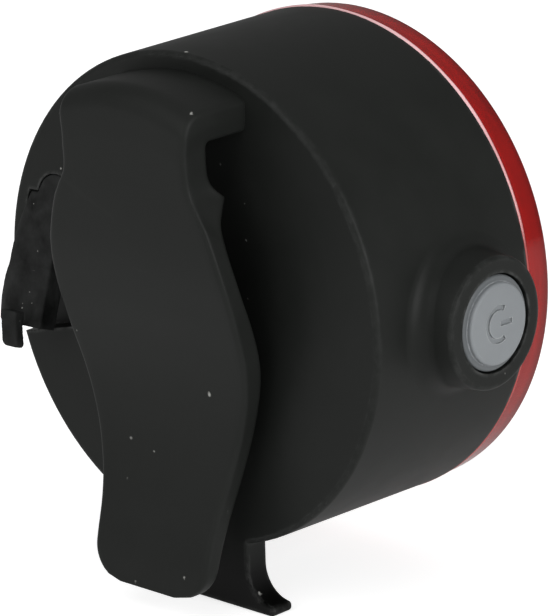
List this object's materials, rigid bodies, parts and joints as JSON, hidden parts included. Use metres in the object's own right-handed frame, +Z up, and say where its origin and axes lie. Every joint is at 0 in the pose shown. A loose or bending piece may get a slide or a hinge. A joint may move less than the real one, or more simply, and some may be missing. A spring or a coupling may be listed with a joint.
{
  "type": "bike rear light",
  "caption": "Round bicycle rear light with a red lens, side push button, covered charging socket, sprung strap clip and lower strap hook.",
  "frame": {"origin": "centre of the housing's flat rear face, which the clip presses a strap against", "axes": "+Z up along the clip, +Y out of the rear face towards the clip, -Y towards the lens, -X to the button, +X to the charging port"},
  "size_m": [0.0492, 0.0306, 0.0507],
  "materials": {
    "housing_black": "fine satin moulded polycarbonate",
    "clip_black": "satin moulded nylon",
    "cover_silicone": "dusty matt silicone",
    "button_rubber": "matt rubber",
    "seal_rubber": "smooth rubber",
    "lens_red": "clear red polycarbonate",
    "reflector_silver": "vapour-metallised plastic",
    "led_resin": "clear resin over phosphor",
    "board_green": "solder mask over glass-epoxy",
    "chip_black": "moulded epoxy",
    "ceramic_tan": "fired ceramic",
    "plunger_white": "plain acetal",
    "screw_steel": "zinc-plated",
    "cell_foil": "laminated foil pouch",
    "pad_foam": "closed-cell foam",
    "tray_white": "plain moulded",
    "lead_red": "insulated wire",
    "lead_black": "insulated wire",
    "socket_steel": "pressed sheet",
    "contact_brass": "plated"
  },
  "bodies": {
    "light_body": {"housing": "housing_black", "lens": "lens_red", "lens_seal": "seal_rubber", "reflector": "reflector_silver", "led_chips": "led_resin", "main_board": "board_green", "board_screws": "screw_steel", "controller_chip": "chip_black", "drive_inductor": "chip_black", "board_capacitors": "ceramic_tan", "board_resistors": "chip_black", "tact_switch": "chip_black", "button_seal": "seal_rubber", "battery": "cell_foil", "battery_pad": "pad_foam", "battery_tray": "tray_white", "battery_lead_red": "lead_red", "battery_lead_black": "lead_black", "charge_board": "board_green", "charge_chip": "chip_black", "board_header": "chip_black", "header_pins": "contact_brass", "usb_shell": "socket_steel", "usb_tongue": "chip_black", "usb_contacts": "contact_brass", "port_cover_anchor": "cover_silicone", "clip_root": "clip_black", "clip_screws": "screw_steel"},
    "button": {"button": "button_rubber", "button_clip": "screw_steel"},
    "switch_plunger": {"switch_plunger": "plunger_white"},
    "port_cover": {"port_cover": "cover_silicone"},
    "clip_arm": {"clip_arm": "clip_black"}
  },
  "joints": [
    {"name": "button_press", "type": "slide", "parent": "light_body", "child": "button", "axis": [1, 0, 0], "range_m": [0, 0.0005], "stiffness_N_per_m": 3000},
    {"name": "plunger_press", "type": "slide", "parent": "light_body", "child": "switch_plunger", "axis": [1, 0, 0], "range_m": [0, 0.0005]},
    {"name": "cover_hinge", "type": "hinge", "parent": "light_body", "child": "port_cover", "pos_m": [0, 0, 0.0075], "axis": [1, 0, 0], "range_deg": [-18.5, 90], "stiffness_Nm_per_rad": 0.002},
    {"name": "clip_flex", "type": "hinge", "parent": "light_body", "child": "clip_arm", "pos_m": [0, 0.0064, 0.0164], "axis": [1, 0, 0], "range_deg": [0, 8], "stiffness_Nm_per_rad": 2}
  ],
  "couplings": [
    {"joint": "plunger_press", "follows": "button_press", "ratio": 1}
  ]
}
